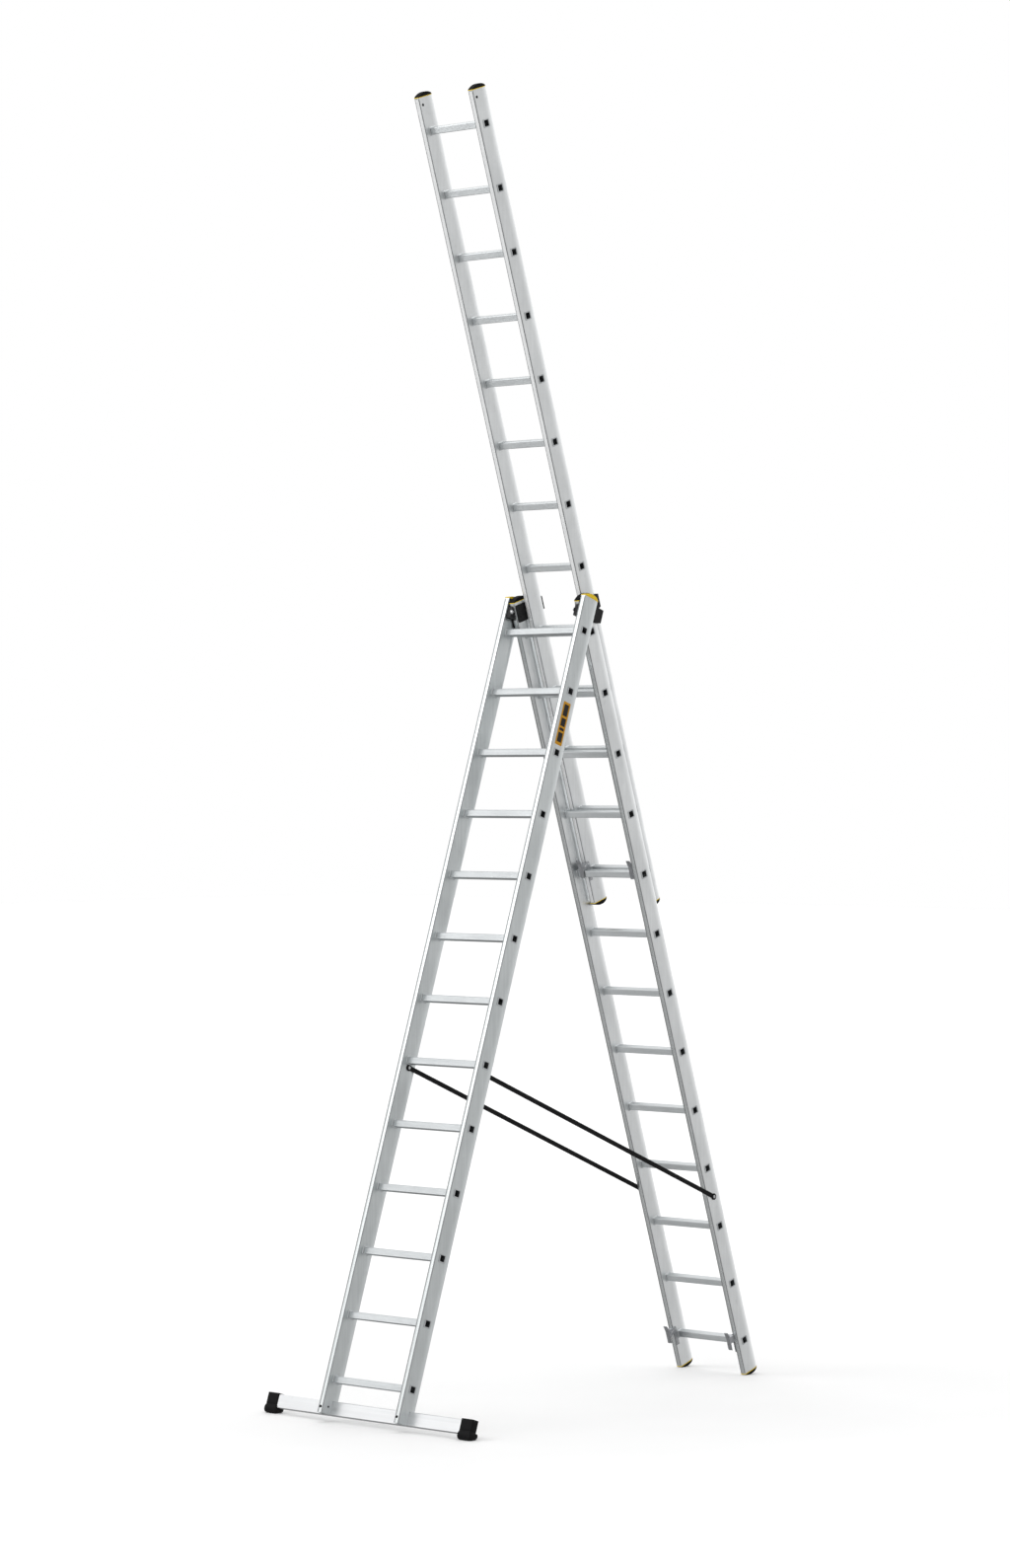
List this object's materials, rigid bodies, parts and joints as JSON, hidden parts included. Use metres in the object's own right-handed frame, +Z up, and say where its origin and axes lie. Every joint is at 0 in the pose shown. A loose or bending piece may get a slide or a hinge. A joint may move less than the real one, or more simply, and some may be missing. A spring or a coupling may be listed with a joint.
{
  "type": "extension ladder",
  "caption": "Aluminium three-part combination ladder standing as an A-frame, its third section run up above the hinge; stabiliser bar across the front foot.",
  "frame": {"origin": "on the floor, under the middle of the ladder's bounding box", "axes": "+Z up, -Y towards the climber at the front section, X across the ladder along the rungs"},
  "size_m": [1.212, 2.4114, 5.6573],
  "materials": {
    "stile_aluminium": "drawn aluminium, satin",
    "rung_aluminium": "drawn aluminium, ribbed tread",
    "stabiliser_aluminium": "drawn aluminium, satin",
    "boot_rubber": "matt black rubber",
    "bracket_steel": "black coated steel",
    "foot_plastic": "black plastic with a yellow rim",
    "hook_steel": "grey zinc-plated pressed steel",
    "strap_webbing": "black woven webbing, ribbed"
  },
  "bodies": {
    "front_section": {"front_stile_left": "stile_aluminium", "front_stile_right": "stile_aluminium", "front_rung_01": "rung_aluminium", "front_rung_02": "rung_aluminium", "front_rung_03": "rung_aluminium", "front_rung_04": "rung_aluminium", "front_rung_05": "rung_aluminium", "front_rung_06": "rung_aluminium", "front_rung_07": "rung_aluminium", "front_rung_08": "rung_aluminium", "front_rung_09": "rung_aluminium", "front_rung_10": "rung_aluminium", "front_rung_11": "rung_aluminium", "front_rung_12": "rung_aluminium", "front_rung_13": "rung_aluminium", "stabiliser_bar": "stabiliser_aluminium", "stabiliser_foot_left": "boot_rubber", "stabiliser_foot_right": "boot_rubber", "hinge_bracket_left": "bracket_steel", "hinge_bracket_right": "bracket_steel", "strap_left": "strap_webbing", "strap_right": "strap_webbing"},
    "rear_section": {"rear_stile_left": "stile_aluminium", "rear_stile_right": "stile_aluminium", "rear_rung_01": "rung_aluminium", "rear_rung_02": "rung_aluminium", "rear_rung_03": "rung_aluminium", "rear_rung_04": "rung_aluminium", "rear_rung_05": "rung_aluminium", "rear_rung_06": "rung_aluminium", "rear_rung_07": "rung_aluminium", "rear_rung_08": "rung_aluminium", "rear_rung_09": "rung_aluminium", "rear_rung_10": "rung_aluminium", "rear_rung_11": "rung_aluminium", "rear_rung_12": "rung_aluminium", "rear_rung_13": "rung_aluminium", "rear_foot_left": "foot_plastic", "rear_foot_right": "foot_plastic", "guide_bracket_left": "bracket_steel", "guide_bracket_right": "bracket_steel", "rear_hook_left": "hook_steel", "rear_hook_right": "hook_steel"},
    "extension_section": {"extension_stile_left": "stile_aluminium", "extension_stile_right": "stile_aluminium", "extension_rung_01": "rung_aluminium", "extension_rung_02": "rung_aluminium", "extension_rung_03": "rung_aluminium", "extension_rung_04": "rung_aluminium", "extension_rung_05": "rung_aluminium", "extension_rung_06": "rung_aluminium", "extension_rung_07": "rung_aluminium", "extension_rung_08": "rung_aluminium", "extension_rung_09": "rung_aluminium", "extension_rung_10": "rung_aluminium", "extension_rung_11": "rung_aluminium", "extension_rung_12": "rung_aluminium", "extension_rung_13": "rung_aluminium", "extension_hook_left": "hook_steel", "extension_hook_right": "hook_steel"}
  },
  "joints": [
    {"name": "rear_fold", "type": "hinge", "parent": "front_section", "child": "rear_section", "pos_m": [0, 0.0083, 3.388], "axis": [1, 0, 0], "range_deg": [-36.3, 0], "deforming": ["strap_left", "strap_right"]},
    {"name": "extension_slide", "type": "slide", "parent": "rear_section", "child": "extension_section", "axis": [0, -0.3137, 0.9495], "range_m": [-2.24, 0]}
  ]
}
